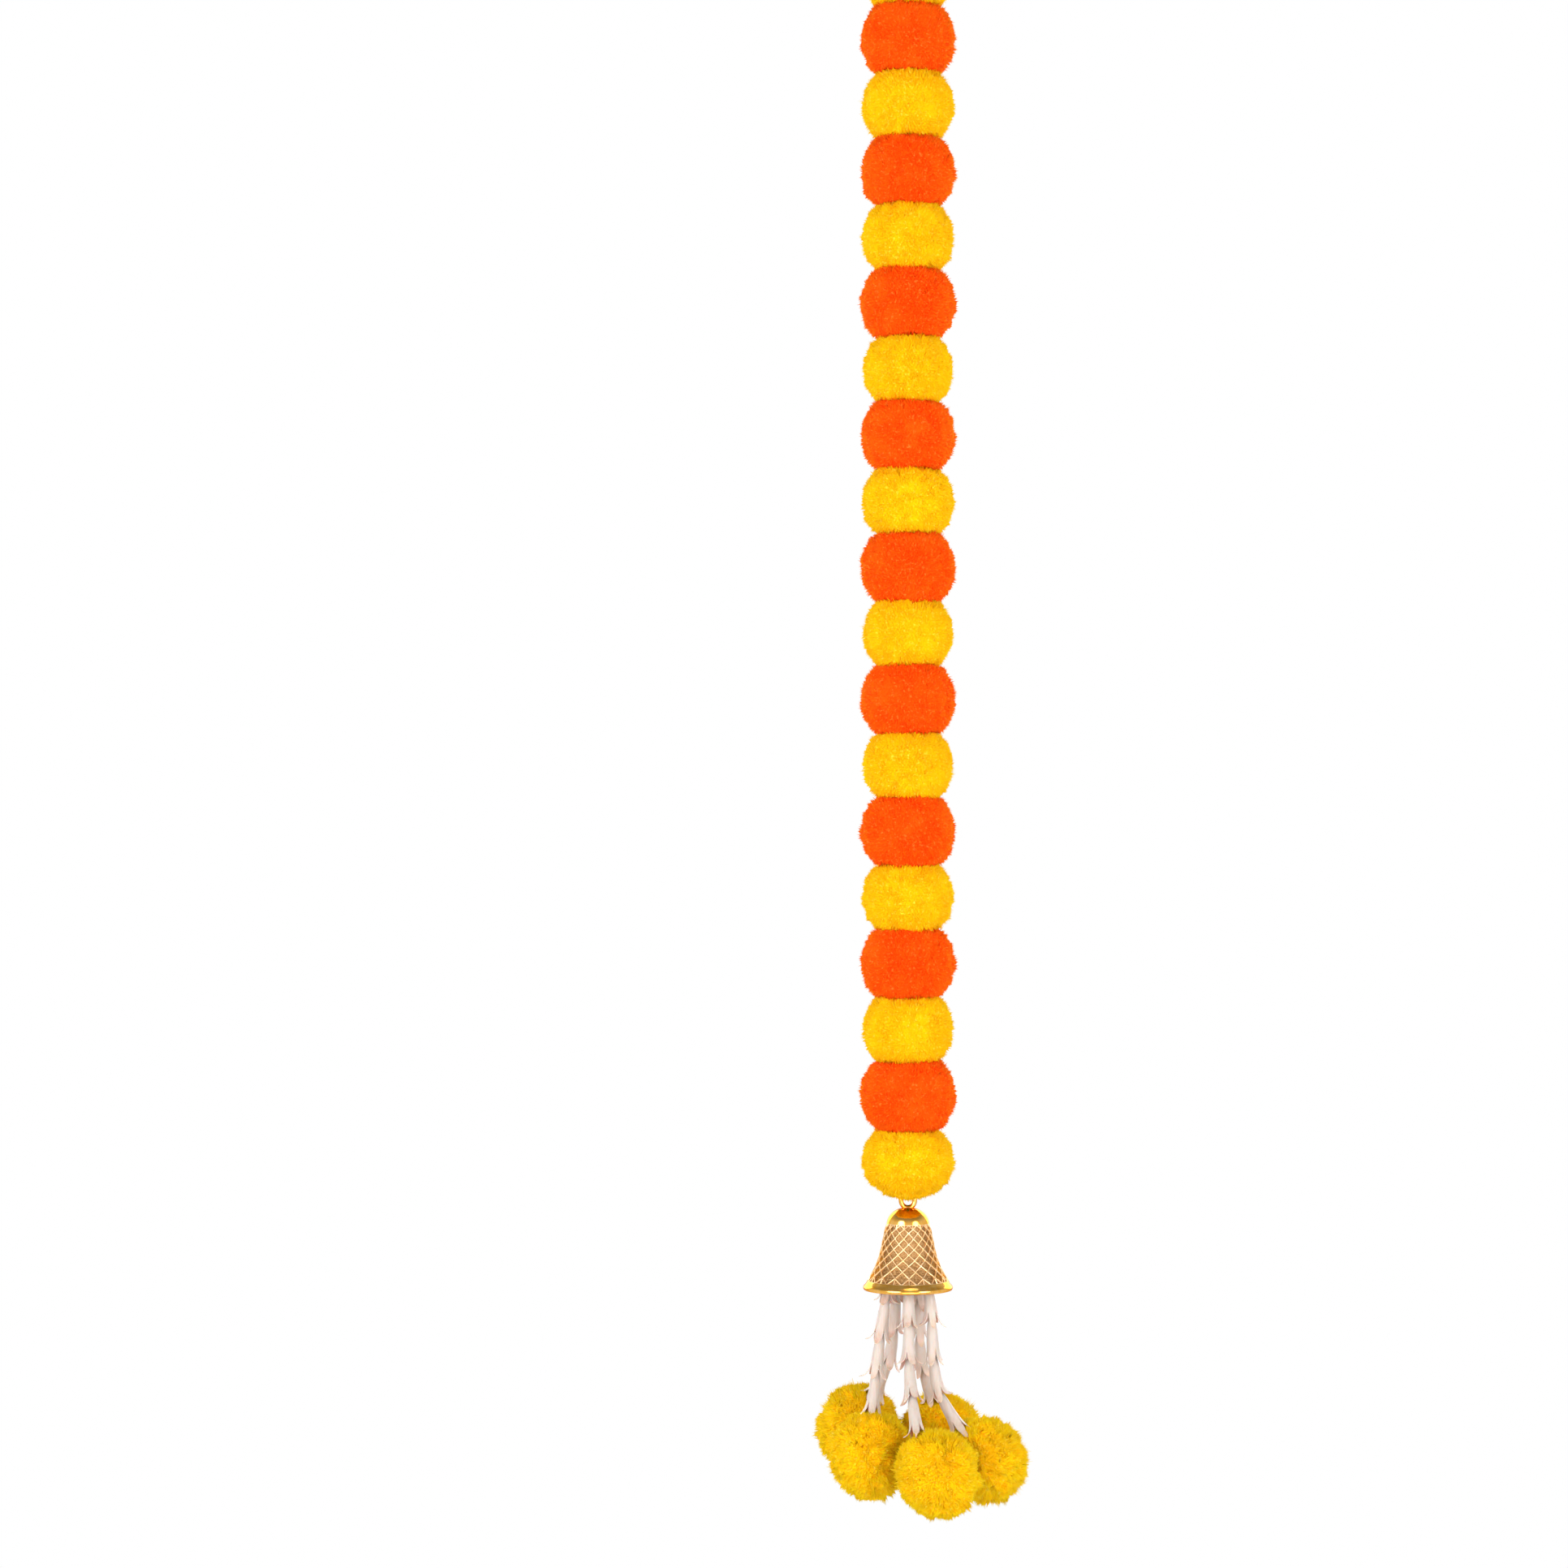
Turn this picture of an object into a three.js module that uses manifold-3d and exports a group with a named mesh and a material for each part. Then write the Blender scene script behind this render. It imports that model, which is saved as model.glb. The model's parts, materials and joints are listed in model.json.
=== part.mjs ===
// A hanging garland of pompom marigolds: flowers pressed together on one string, a netted bell under
// them, and a tassel of five tuberose strands that each end in a pompom.
import * as THREE from 'three';
import { mergeVertices } from 'three/addons/utils/BufferGeometryUtils.js';
import Module from 'manifold-3d';

// Driving dimensions, in millimetres. The garland hangs straight down along -Z from the inside of its
// top loop, which is the origin. The front is -Y.
const FLOWERS = 20;
const FLOWER_PITCH = 36.9;
const FLOWER_GAP = 0.4;
const YELLOW_RADIUS = 25.6;
const ORANGE_RADIUS = 26.8;
const FREE_HEIGHT = 20; // middle of a flower to an end that nothing presses on
const END_POMPOM_RADIUS = 23.5;
const TUFT_DEPTH = 2.6;
const TUFT_UNEVEN = 0.9; // how far one tuft's length may fall short of another's
const TUFT_COLUMNS = 20;
const TUFT_ROWS = 8;

const STRING_RADIUS = 1.2;
const STRING_CLEARANCE = 0.35;
const THREAD_RADIUS = 0.7;
const LOOP_HEIGHT = 50; // origin to the middle of the knot under the loop
const LOOP_RADIUS = 7.5;
const KNOT_RADIUS = 2.9;
const KNOT_TURNS = 3;
const KNOT_TURN_HEIGHT = 1.8;

const BELL_HEIGHT = 46.5; // rim to the top of the dome
const BELL_DROP = 72.4; // middle of the last flower to the rim
const CROWN_THICKNESS = 2.9;
const NET_CELLS = 16; // round the bell
const NET_ROWS = 11; // half cells, one above the other
const RIB_HEIGHT = 0.6;
const RIB_SHARE = 0.28; // half a rib's width, as a share of half a cell
const DOME_FOOT = [11.9, 37.5]; // radius and height where the net ends and the dome begins
const EYE = { radius: 3.8, wire: 1.4, depth: 1.4, stretch: 1.05, height: 50.1 };
const INNER_EYE = { radius: 3.2, wire: 1.1, depth: 1, stretch: 0.8, height: 42.4 };

const FLORETS = 4; // on each tuberose strand
const FLORET_LENGTH = 20.8;
const PETALS = 5;
const FLORET_SEAT = 22.2; // middle of a pompom to the floret that lies on it

// Where things are, worked out from the dimensions above.
const KNOT_HALF = (KNOT_TURNS * KNOT_TURN_HEIGHT) / 2;
const FIRST_FLOWER_Z = -(LOOP_HEIGHT + KNOT_HALF + FLOWER_GAP + FREE_HEIGHT);
const LAST_FLOWER_Z = FIRST_FLOWER_Z - (FLOWERS - 1) * FLOWER_PITCH;
const RIM_Z = LAST_FLOWER_Z - BELL_DROP;
const BORE_RADIUS = STRING_RADIUS + STRING_CLEARANCE;
const THREAD_BORE_RADIUS = THREAD_RADIUS + STRING_CLEARANCE + 0.1;

// A pompom's two kinds of end: pressed flat on its neighbour, or left round.
const PRESSED = { height: (FLOWER_PITCH - FLOWER_GAP) / 2, squareness: 3.4 };
const FREE = { height: FREE_HEIGHT, squareness: 2.15 };
const ROUND = { height: END_POMPOM_RADIUS, squareness: 2 };
const END_ANGLE = 0.38; // where the tufts start, as an angle from the pompom's axis

// The string's lower loop goes through the bell's eye, and its knot sits in a hollow of the last flower.
const LOWER_LOOP = { radius: 3.5, wire: 1.1, stretch: 0.86, height: 54.1 };
const LOWER_KNOT_HEIGHT = 59;
const HOLLOW_RADIUS = 5.4;
const HOLLOW_TOP = LOWER_KNOT_HEIGHT + KNOT_HALF + FLOWER_GAP - BELL_DROP;

// The tassel's tie hangs on the bell's inner eye and ends in a flat foot, from which the threads go down.
const TIE = { radius: 2.2, wire: 0.8, stretch: 0.9, height: 39.8, foot: 33.2, footRadius: 3.2 };

// Each tuberose strand: its way from the foot of the tie to its last floret, and its pompom's middle,
// all from the middle of the bell's rim.
const STRANDS = [
  { way: [[-1.9, -0.6, 32.8], [-8.6, -3.5, 11], [-12.5, -5, -5], [-17.2, -6.4, -38], [-20.2, -7, -67]],
    pompom: [-21, -9.5, -90.5] },
  { way: [[0, -2, 32.8], [0, -9, 11], [0, -13, -5], [0.2, -23, -43], [4, -41, -76]],
    pompom: [14.5, -45, -95] },
  { way: [[1.9, -0.6, 32.8], [8.2, -4, 11], [12, -6.5, -5], [16.4, -11, -53], [29, -13, -77]],
    pompom: [42.5, -6.5, -94] },
  { way: [[1.2, 1.6, 32.8], [4.4, 6.6, 11], [6, 9.6, -5], [8.4, 20.5, -43], [15, 32, -67.5]],
    pompom: [21, 41, -87.5] },
  { way: [[-1.2, 1.6, 32.8], [-4.6, 7, 11], [-6.2, 10.2, -5], [-9.8, 23, -41], [-18.5, 30, -63.5]],
    pompom: [-27, 38, -83] },
];

const MATERIALS = {
  yellow: { color: '#fdc705', roughness: 0.9, metalness: 0 },
  orange: { color: '#fc4f06', roughness: 0.9, metalness: 0 },
  endYellow: { color: '#f4bd0a', roughness: 0.9, metalness: 0 },
  gold: { color: '#d39a3c', roughness: 0.25, metalness: 0.9 },
  petalWhite: { color: '#eddfd7', roughness: 0.6, metalness: 0 },
  thread: { color: '#e8e0d6', roughness: 0.8, metalness: 0 },
  string: { color: '#4f9142', roughness: 0.8, metalness: 0 },
};

const wasm = await Module();
wasm.setup();

/** Random numbers from 0 to 1, the same ones for the same seed. */
function seededRandom(seed) {
  let state = seed;
  return () => {
    state = (Math.imul(state, 1664525) + 1013904223) >>> 0;
    return state / 2 ** 32;
  };
}

/** The geometry with its shared points merged and its empty triangles dropped. */
function tidied(geometry) {
  const bare = geometry.clone();
  bare.deleteAttribute('normal');
  bare.deleteAttribute('uv');
  const merged = mergeVertices(bare, 1e-4);
  const kept = [];
  for (let i = 0; i < merged.index.count; i += 3) {
    const [a, b, c] = [0, 1, 2].map((corner) => merged.index.getX(i + corner));
    if (a !== b && b !== c && c !== a) kept.push(a, b, c);
  }
  merged.setIndex(kept);
  return merged;
}

/** Closed geometries joined into one. */
function fused(...geometries) {
  const solids = geometries.map((geometry) => {
    const { attributes, index } = tidied(geometry);
    return new wasm.Manifold(new wasm.Mesh({
      numProp: 3,
      vertProperties: new Float32Array(attributes.position.array),
      triVerts: new Uint32Array(index.array),
    }));
  });
  const mesh = solids.reduce((whole, next) => whole.add(next)).getMesh();
  const geometry = new THREE.BufferGeometry();
  geometry.setAttribute('position', new THREE.BufferAttribute(mesh.vertProperties, mesh.numProp));
  geometry.setIndex([...mesh.triVerts]);
  return geometry;
}

/** A ring of points round the Z axis. */
function circle(radius, z, columns) {
  return Array.from({ length: columns }, (_, column) => {
    const turn = (2 * Math.PI * column) / columns;
    return new THREE.Vector3(radius * Math.cos(turn), radius * Math.sin(turn), z);
  });
}

/** Points and triangles gathered into one surface, from the top down and then back up inside. */
class Skin {
  points = [];
  triangles = [];

  add(point) {
    this.points.push(point.x, point.y, point.z);
    return this.points.length / 3 - 1;
  }

  addRing(ring) {
    return ring.map((point) => this.add(point));
  }

  /** Joins two rings. Each cell is split so that every other point of a ring can stand out as a tip. */
  join(upper, lower, row = 0) {
    upper.forEach((a, column) => {
      const next = (column + 1) % upper.length;
      const [b, c, d] = [upper[next], lower[column], lower[next]];
      if ((row + column) % 2 === 0) this.triangles.push(a, c, b, b, c, d);
      else this.triangles.push(a, c, d, a, d, b);
    });
  }

  closeTop(ring, tip) {
    const middle = this.add(tip);
    ring.forEach((a, column) => this.triangles.push(middle, a, ring[(column + 1) % ring.length]));
  }

  closeBottom(ring, tip) {
    const middle = this.add(tip);
    ring.forEach((a, column) => this.triangles.push(middle, ring[(column + 1) % ring.length], a));
  }

  geometry() {
    const geometry = new THREE.BufferGeometry();
    geometry.setAttribute('position', new THREE.Float32BufferAttribute(this.points, 3));
    geometry.setIndex(this.triangles);
    return geometry;
  }
}

/** A pompom's tufted side: rings of points that stand alternately out and in, drawn from the seed. */
function tuftRings(radius, upper, lower, seed) {
  const random = seededRandom(seed);
  const steps = 24;
  const profile = Array.from({ length: steps + 1 }, (_, step) => {
    const angle = THREE.MathUtils.lerp(END_ANGLE, Math.PI - END_ANGLE, step / steps);
    const end = angle < Math.PI / 2 ? upper : lower;
    const height = end.height * Math.sign(Math.cos(angle));
    return new THREE.Vector2(
      radius * Math.sin(angle) ** (2 / end.squareness),
      height * Math.abs(Math.cos(angle)) ** (2 / end.squareness),
    );
  });
  return new THREE.SplineCurve(profile).getSpacedPoints(TUFT_ROWS - 1).map((point, row) => (
    Array.from({ length: TUFT_COLUMNS }, (_, column) => {
      const isTip = (row + column) % 2 === 0;
      const depth = (isTip ? 0 : TUFT_DEPTH) + random() * TUFT_UNEVEN;
      const turn = ((column + 0.4 * (random() - 0.5)) * 2 * Math.PI) / TUFT_COLUMNS;
      const scale = 1 - depth / point.length();
      return new THREE.Vector3(
        scale * point.x * Math.cos(turn), scale * point.x * Math.sin(turn), scale * point.y,
      );
    })
  ));
}

/** One marigold: tufts all round and a straight bore for the string, with a hollow for the knot below. */
function flowerGeometry(radius, upper, lower, hasHollow, seed) {
  const rings = tuftRings(radius, upper, lower, seed);
  rings.unshift(circle(BORE_RADIUS, upper.height, TUFT_COLUMNS));
  if (hasHollow) {
    rings.push(circle(HOLLOW_RADIUS, -lower.height, TUFT_COLUMNS));
    rings.push(circle(HOLLOW_RADIUS, HOLLOW_TOP, TUFT_COLUMNS));
    rings.push(circle(BORE_RADIUS, HOLLOW_TOP, TUFT_COLUMNS));
  } else {
    rings.push(circle(BORE_RADIUS, -lower.height, TUFT_COLUMNS));
  }
  const skin = new Skin();
  const added = rings.map((ring) => skin.addRing(ring));
  added.forEach((ring, row) => skin.join(ring, added[(row + 1) % added.length], row + 1));
  return skin.geometry();
}

/** A pompom of the tassel: tufts all round and a blind bore from its top for its strand's thread. */
function endPompomGeometry(seed) {
  const boreEnd = -2;
  const rings = tuftRings(END_POMPOM_RADIUS, ROUND, ROUND, seed);
  rings.unshift(circle(THREAD_BORE_RADIUS, boreEnd, TUFT_COLUMNS));
  rings.splice(1, 0, circle(THREAD_BORE_RADIUS, END_POMPOM_RADIUS - TUFT_DEPTH, TUFT_COLUMNS));
  const skin = new Skin();
  const added = rings.map((ring) => skin.addRing(ring));
  skin.closeTop(added[0], new THREE.Vector3(0, 0, boreEnd));
  added.slice(1).forEach((ring, row) => skin.join(added[row], ring, row));
  skin.closeBottom(added.at(-1), new THREE.Vector3(0, 0, TUFT_DEPTH - END_POMPOM_RADIUS));
  return skin.geometry();
}

/** Turns of cord wound round the Z axis, about the origin. */
function windings(radius, turns, turnHeight) {
  const half = (turns * turnHeight) / 2;
  const profile = [new THREE.Vector2(0, -half)];
  for (let turn = 0; turn < turns; turn++) {
    const low = -half + turn * turnHeight;
    profile.push(new THREE.Vector2(radius * 0.74, low));
    profile.push(new THREE.Vector2(radius, low + turnHeight / 2));
  }
  profile.push(new THREE.Vector2(radius * 0.74, half), new THREE.Vector2(0, half));
  return new THREE.LatheGeometry(profile, 10).rotateX(Math.PI / 2);
}

/** An upright ring of round wire that faces the front: depth and stretch scale it along Y and Z. */
function wireEye({ radius, wire, depth = 1, stretch = 1, height }) {
  return new THREE.TorusGeometry(radius, wire, 8, 12)
    .rotateX(Math.PI / 2)
    .scale(1, depth, stretch)
    .translate(0, 0, height);
}

/** The string: its top loop, two knots, the straight run through the flowers and the loop at the bell. */
function stringGeometry() {
  const legGap = STRING_RADIUS + 0.1;
  const shoulder = STRING_RADIUS - LOOP_RADIUS;
  const way = [
    [-legGap, -LOOP_HEIGHT], [-legGap - 0.7, -LOOP_HEIGHT + 9], [-LOOP_RADIUS * 0.8, -LOOP_HEIGHT * 0.48],
    [-LOOP_RADIUS, shoulder],
  ];
  const left = way.map(([x, z]) => new THREE.Vector3(x, 0, z));
  const right = way.map(([x, z]) => new THREE.Vector3(-x, 0, z)).reverse();
  const top = [2.4, Math.PI / 2, 0.75].map((angle) => new THREE.Vector3(
    LOOP_RADIUS * Math.cos(angle), 0, shoulder + LOOP_RADIUS * Math.sin(angle),
  ));
  const section = new THREE.Shape();
  section.absarc(0, 0, STRING_RADIUS, 0, 2 * Math.PI);
  const loop = new THREE.ExtrudeGeometry(section, {
    extrudePath: new THREE.CatmullRomCurve3([...left, ...top, ...right]), steps: 28, curveSegments: 4,
  });
  const knot = windings(KNOT_RADIUS, KNOT_TURNS, KNOT_TURN_HEIGHT);
  const lowerKnotZ = RIM_Z + LOWER_KNOT_HEIGHT;
  const run = new THREE.CylinderGeometry(STRING_RADIUS, STRING_RADIUS, -LOOP_HEIGHT - lowerKnotZ, 8)
    .rotateX(Math.PI / 2)
    .translate(0, 0, (lowerKnotZ - LOOP_HEIGHT) / 2);
  return fused(
    loop,
    knot.clone().translate(0, 0, -LOOP_HEIGHT),
    run,
    knot.clone().translate(0, 0, lowerKnotZ),
    wireEye(LOWER_LOOP).rotateZ(Math.PI / 2).translate(0, 0, RIM_Z),
  );
}

const bellOutline = new THREE.SplineCurve([
  [24.2, 3], [20.6, 9], [17.9, 15], [15.8, 21.4], [14.6, 27.4], [13.3, 33.4], DOME_FOOT,
].map(([radius, height]) => new THREE.Vector2(radius, height)));

/** The bell's outer radius at a height over its rim, on the netted side. */
function bellRadius(height) {
  const points = bellOutline.getPoints(60);
  const above = Math.max(1, points.findIndex((point) => point.y >= height));
  const [low, high] = [points[above - 1], points[above]];
  return THREE.MathUtils.mapLinear(height, low.y, high.y, low.x, high.x);
}

/** A point of the bell's side, at a share of a full turn and a height, sunk in from the ribs' crests. */
function onBell(turn, height, sunk) {
  const radius = bellRadius(height) - sunk;
  return new THREE.Vector3(
    radius * Math.cos(turn * 2 * Math.PI), radius * Math.sin(turn * 2 * Math.PI), height,
  );
}

/** The raised net: rib crests along the diagonals of a grid, with a flat floor sunk into every cell. */
function addNet(skin) {
  const columns = NET_CELLS * 2;
  const outlineAt = (row) => bellOutline.getPoint(1 - row / NET_ROWS).y;
  const places = (row, column) => ({ turn: column / columns, height: outlineAt(row) });
  const crests = Array.from({ length: NET_ROWS + 1 }, (_, row) => (
    Array.from({ length: columns }, (__, column) => {
      const isEdge = row === 0 || row === NET_ROWS;
      if (!isEdge && (row + column) % 2 === 1) return null;
      const { turn, height } = places(row, column);
      return skin.add(onBell(turn, height, 0));
    })
  ));
  for (let row = 0; row <= NET_ROWS; row++) {
    for (let column = (row + 1) % 2; column < columns; column += 2) {
      const corners = [
        [Math.max(row - 1, 0), column], [row, column - 1],
        [Math.min(row + 1, NET_ROWS), column], [row, column + 1],
      ];
      const around = corners.map(([r, c]) => places(r, c));
      const middle = {
        turn: column / columns,
        height: around.reduce((sum, place) => sum + place.height, 0) / around.length,
      };
      const floor = around.map((place) => skin.add(onBell(
        THREE.MathUtils.lerp(place.turn, middle.turn, RIB_SHARE),
        THREE.MathUtils.lerp(place.height, middle.height, RIB_SHARE),
        RIB_HEIGHT,
      )));
      const crest = corners.map(([r, c]) => crests[r][(c + columns) % columns]);
      skin.triangles.push(floor[0], floor[1], floor[2], floor[0], floor[2], floor[3]);
      crest.forEach((a, side) => {
        const next = (side + 1) % 4;
        skin.triangles.push(a, crest[next], floor[next], a, floor[next], floor[side]);
      });
    }
  }
  return crests;
}

/** The bell: a thin netted shell with a smooth dome and lip, an eye on top and one inside the crown. */
function bellGeometry() {
  const columns = NET_CELLS * 2;
  const [footRadius, footHeight] = DOME_FOOT;
  const skin = new Skin();
  const crests = addNet(skin);
  const dome = [0.45, 0.9, 1.28].map((angle) => skin.addRing(circle(
    footRadius * Math.cos(angle), footHeight + (BELL_HEIGHT - footHeight) * Math.sin(angle), columns,
  ))).reverse();
  skin.closeTop(dome[0], new THREE.Vector3(0, 0, BELL_HEIGHT));
  [...dome.slice(1), crests[0]].forEach((ring, row) => skin.join(dome[row], ring));
  const lip = [[25, 2.7], [25.4, 1.5], [25.1, 0.3], [24, 0]];
  const inside = [[22.8, 2], [18.6, 9], [14.4, 18.6], [12, 29.7], [9.2, 38.6]];
  const lower = [...lip, ...inside].map(([radius, height]) => skin.addRing(circle(radius, height, columns)));
  [crests[NET_ROWS], ...lower.slice(0, -1)].forEach((ring, row) => skin.join(ring, lower[row]));
  skin.closeBottom(lower.at(-1), new THREE.Vector3(0, 0, BELL_HEIGHT - CROWN_THICKNESS));
  return fused(skin.geometry(), wireEye(EYE), wireEye(INNER_EYE));
}

/** The tie: a ring of thread through the bell's inner eye, wound below it, with a flat foot. */
function tieGeometry() {
  const neckTop = TIE.height - TIE.radius * TIE.stretch;
  const woundHeight = neckTop - TIE.foot - 1;
  const wound = windings(TIE.footRadius * 0.8, 2, woundHeight / 2)
    .translate(0, 0, TIE.foot + 0.8 + woundHeight / 2);
  const foot = new THREE.CylinderGeometry(TIE.footRadius * 0.7, TIE.footRadius, 1.4, 10)
    .rotateX(Math.PI / 2)
    .translate(0, 0, TIE.foot + 0.7);
  return fused(wireEye(TIE).rotateZ(Math.PI / 2), wound, foot);
}

/**
 * One floret's outline, as rings of radius and distance from the floret's narrow top. Even points run
 * along the petals and odd ones along the notches between them.
 */
const FLORET_RINGS = [
  { petal: [2.1, 0.6], notch: [2.1, 0.6] },
  { petal: [2.5, 9], notch: [2.5, 9] },
  { petal: [3.2, 15.6], notch: [3.1, 15.6] },
  { petal: [5.2, 17.9], notch: [3.3, 17.2] },
  { petal: [7.4, 16.7], notch: [3.1, 18.2] },
  { petal: [4.3, 19.5], notch: [2.8, 19] },
];

/** A tuberose strand: a thread down its way, florets on its lower part and a tail into the pompom. */
function strandGeometry({ way, pompom }) {
  const stations = way.map((point) => new THREE.Vector3(...point));
  const centre = new THREE.Vector3(...pompom);
  const lastFloret = stations.at(-1);
  lastFloret.sub(centre).setLength(FLORET_SEAT).add(centre);
  const route = new THREE.CurvePath();
  route.add(new THREE.CatmullRomCurve3(stations));
  route.add(new THREE.LineCurve3(lastFloret, centre));
  const bendLength = route.curves[0].getLength();
  const length = route.getLength();
  const ringAt = (distance, radiusOf, slideOf = () => 0) => (
    Array.from({ length: PETALS * 2 }, (_, column) => {
      const share = THREE.MathUtils.clamp((distance + slideOf(column)) / length, 0, 1);
      const along = route.getTangentAt(share);
      const side = new THREE.Vector3(0, 1, 0).cross(along).normalize();
      const front = along.clone().cross(side);
      const turn = (Math.PI * column) / PETALS;
      return route.getPointAt(share)
        .addScaledVector(side, radiusOf(column) * Math.cos(turn))
        .addScaledVector(front, -radiusOf(column) * Math.sin(turn));
    })
  );
  const firstTop = bendLength - FLORETS * FLORET_LENGTH;
  const threadRadius = () => THREAD_RADIUS;
  const rings = [0, 0.25, 0.5, 0.75, 1].map((share) => ringAt(share * firstTop, threadRadius));
  for (let floret = 0; floret < FLORETS; floret++) {
    const top = firstTop + floret * FLORET_LENGTH;
    for (const { petal, notch } of FLORET_RINGS) {
      const pick = (column) => (column % 2 === 0 ? petal : notch);
      rings.push(ringAt(top, (column) => pick(column)[0], (column) => pick(column)[1]));
    }
  }
  rings.push(ringAt(bendLength, threadRadius), ringAt(length, threadRadius));
  const skin = new Skin();
  const added = rings.map((ring) => skin.addRing(ring));
  skin.closeTop(added[0], route.getPointAt(0));
  added.slice(1).forEach((ring, row) => skin.join(added[row], ring));
  skin.closeBottom(added.at(-1), centre);
  return skin.geometry();
}

function sub(name, geometry, material) {
  const mesh = new THREE.Mesh(geometry, new THREE.MeshStandardMaterial(material));
  mesh.name = name;
  return mesh;
}

/** The run of flowers, in turn orange and yellow, the last one yellow. */
function flowers() {
  const group = new THREE.Group();
  for (let number = 1; number <= FLOWERS; number++) {
    const isYellow = (FLOWERS - number) % 2 === 0;
    const isLast = number === FLOWERS;
    const geometry = flowerGeometry(
      isYellow ? YELLOW_RADIUS : ORANGE_RADIUS, number === 1 ? FREE : PRESSED, isLast ? FREE : PRESSED,
      isLast, number,
    );
    const flower = sub(
      `flower_${String(number).padStart(2, '0')}`, geometry, isYellow ? MATERIALS.yellow : MATERIALS.orange,
    );
    flower.position.z = FIRST_FLOWER_Z - (number - 1) * FLOWER_PITCH;
    group.add(flower);
  }
  return group;
}

/** The tassel, in the frame of the bell's rim: its tie, its strands and their pompoms. */
function tassel() {
  const group = new THREE.Group();
  group.add(sub('tassel_tie', tieGeometry(), MATERIALS.thread));
  STRANDS.forEach((strand, index) => {
    const number = index + 1;
    group.add(sub(`tuberose_strand_${number}`, strandGeometry(strand), MATERIALS.petalWhite));
    const pompom = sub(`end_pompom_${number}`, endPompomGeometry(FLOWERS + number), MATERIALS.endYellow);
    pompom.position.set(...strand.pompom);
    const up = new THREE.Vector3(...strand.way.at(-1)).sub(pompom.position).normalize();
    pompom.quaternion.setFromUnitVectors(new THREE.Vector3(0, 0, 1), up);
    group.add(pompom);
  });
  return group;
}

const garland = new THREE.Group();
const lowerEnd = new THREE.Group();
lowerEnd.position.z = RIM_Z;
lowerEnd.add(sub('bell', bellGeometry(), MATERIALS.gold), tassel());
garland.add(sub('string', stringGeometry(), MATERIALS.string), flowers(), lowerEnd);

export default garland;
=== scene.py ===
"""A hanging garland of pompom marigolds with a gold bell and a tuberose tassel.

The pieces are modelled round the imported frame, in metres. The garland hangs down along -Z from the
inside of its top loop, which is the origin, and its front is -Y.
"""
import json
import math
import random

import bpy
from mathutils import Matrix, Vector

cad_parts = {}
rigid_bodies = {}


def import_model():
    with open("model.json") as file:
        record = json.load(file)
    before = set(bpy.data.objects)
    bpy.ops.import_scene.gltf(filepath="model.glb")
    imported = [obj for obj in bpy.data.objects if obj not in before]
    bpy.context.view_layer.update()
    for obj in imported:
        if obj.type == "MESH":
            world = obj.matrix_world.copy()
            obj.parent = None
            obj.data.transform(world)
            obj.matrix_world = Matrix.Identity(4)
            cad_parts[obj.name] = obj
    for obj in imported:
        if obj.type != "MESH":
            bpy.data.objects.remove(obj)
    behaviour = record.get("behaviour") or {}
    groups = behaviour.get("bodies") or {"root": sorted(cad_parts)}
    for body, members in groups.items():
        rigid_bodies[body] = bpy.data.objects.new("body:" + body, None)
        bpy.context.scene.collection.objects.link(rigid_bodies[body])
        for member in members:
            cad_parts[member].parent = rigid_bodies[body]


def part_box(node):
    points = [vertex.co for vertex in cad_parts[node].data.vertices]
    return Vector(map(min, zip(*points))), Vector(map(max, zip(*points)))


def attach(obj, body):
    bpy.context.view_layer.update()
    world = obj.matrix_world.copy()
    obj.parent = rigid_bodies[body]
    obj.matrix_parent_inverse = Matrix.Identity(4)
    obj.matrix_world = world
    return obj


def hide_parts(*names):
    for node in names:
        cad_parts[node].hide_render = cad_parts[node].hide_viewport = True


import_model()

bl_info = {
    "name": "Marigold garland",
    "version": (1, 0, 0),
    "blender": (4, 5, 0),
    "location": "View3D > Sidebar > Garland",
    "description": "Models a hanging garland of pompom marigolds with its bell and tassel",
    "category": "Add Mesh",
}

MM = 0.001
RIM_Z = -846.6 * MM  # the bell's rim
PLY_SHARE = 0.56  # a ply's radius, as a share of its cord's

# The flowers from the top down, by the model that each is copied from.
FLOWERS = ["first", *["yellow", "orange"] * 9, "last"]
YELLOW_FLOWERS = ("yellow", "last")
COVERED = 12.5  # mm from the string within which a pressed neighbour hides a flower's end
FLOWER_TILT = 0.04  # radians that a flower leans at most, each way
FLOWER_GIRTH = (0.985, 1.015)  # how much slimmer or stouter a flower is than its model

# The bell's outline over its rim, as (radius, height) in millimetres: the rows of the net from the
# foot of the dome down, the lip, and the inside up to the crown.
NET_ROWS = [
    (11.9, 37.5), (12.7, 35.3), (13.35, 33.2), (13.95, 30.0), (14.55, 27.1), (15.15, 24.2),
    (15.8, 21.3), (16.65, 18.3), (17.65, 15.4), (19.0, 12.3), (20.75, 8.8), (22.75, 5.4),
]
LIP = [(24.2, 3.0), (25.0, 2.7), (25.4, 1.5), (25.1, 0.3), (24.0, 0.0)]
INSIDE = [(22.8, 2.0), (18.6, 9.0), (14.4, 18.6), (12.0, 29.7), (9.2, 38.6), (0.0, 43.6)]
DOME_TOP = 46.5
DOME_ANGLES = (math.pi / 2, 1.33, 1.05, 0.75, 0.45, 0.2)  # the dome's rows, from its top down
NET_COLUMNS = 32
NET_STEPS = [(0.23, -0.05), (0.14, -0.18), (0.1, -0.32)]  # mm inwards and down, from rib to ground
OUTER_EYE, INNER_EYE = 50.1, 42.4  # mm from the rim up to the middles of the bell's eyes

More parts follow.
